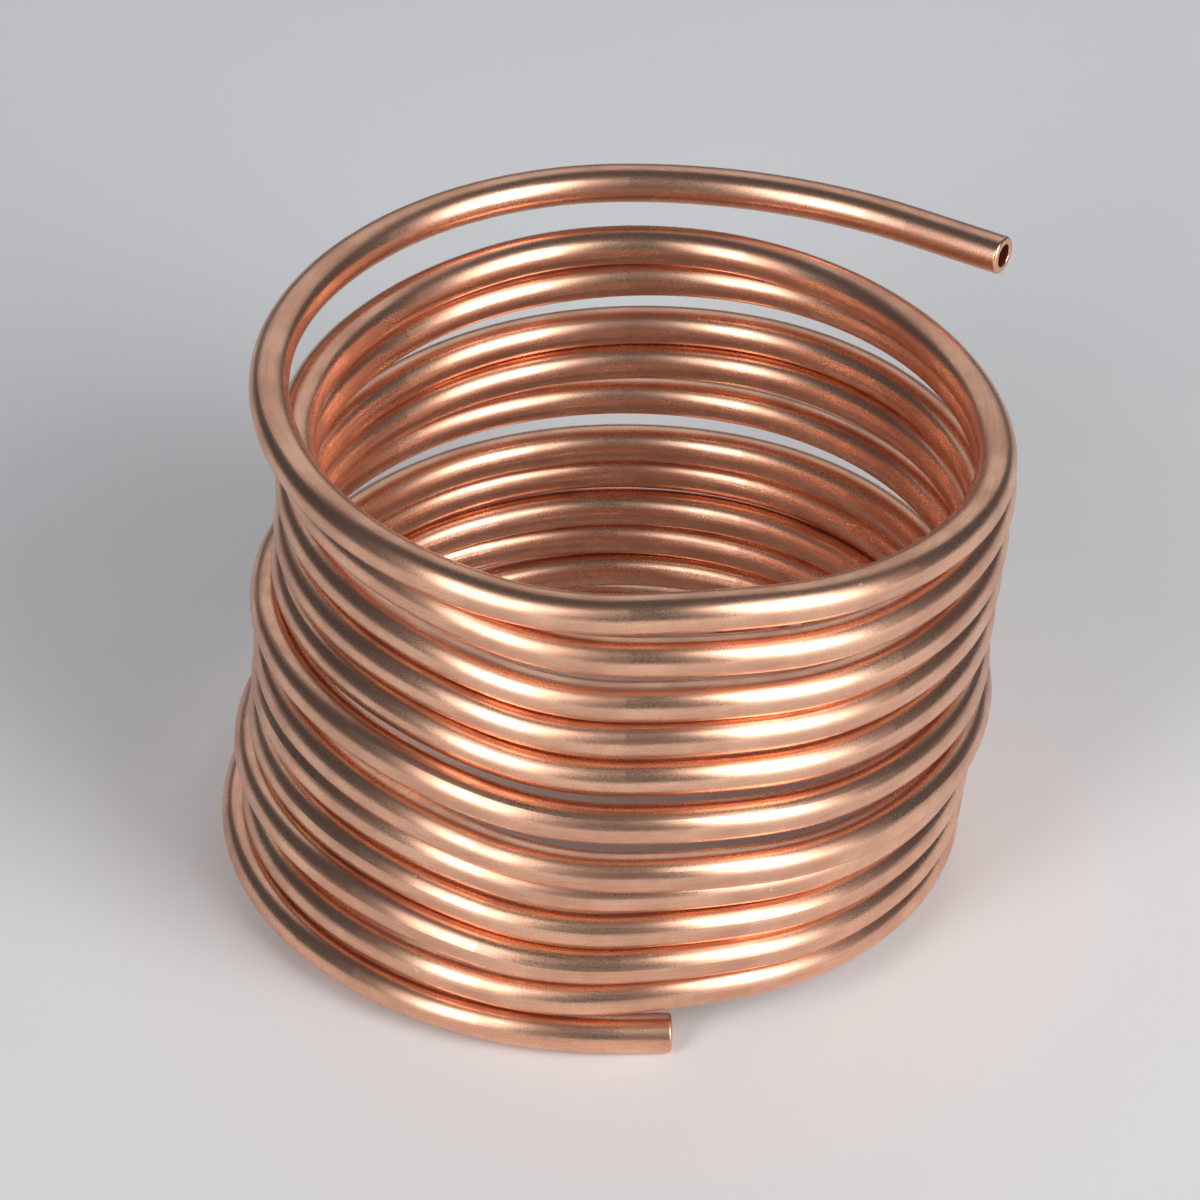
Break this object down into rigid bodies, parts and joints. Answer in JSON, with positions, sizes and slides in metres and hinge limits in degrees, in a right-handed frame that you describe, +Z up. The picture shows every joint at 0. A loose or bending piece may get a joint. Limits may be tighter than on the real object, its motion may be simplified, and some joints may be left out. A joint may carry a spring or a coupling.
{
  "type": "coiled capillary tube",
  "caption": "Bare copper capillary tube wound into a free-standing single-layer coil, with two open square-cut ends for joining into a gas or refrigerant line.",
  "frame": {"origin": "centre of the bottom of the bounding box, on the floor under the coil", "axes": "+Z up through the coil, -Y the front with the lower free end, +X the side that the upper free end reaches to"},
  "size_m": [0.0644, 0.0622, 0.0466],
  "materials": {
    "copper": "bare drawn copper, satin bright"
  },
  "bodies": {
    "root": {"capillary_tube": "copper"}
  },
  "joints": []
}
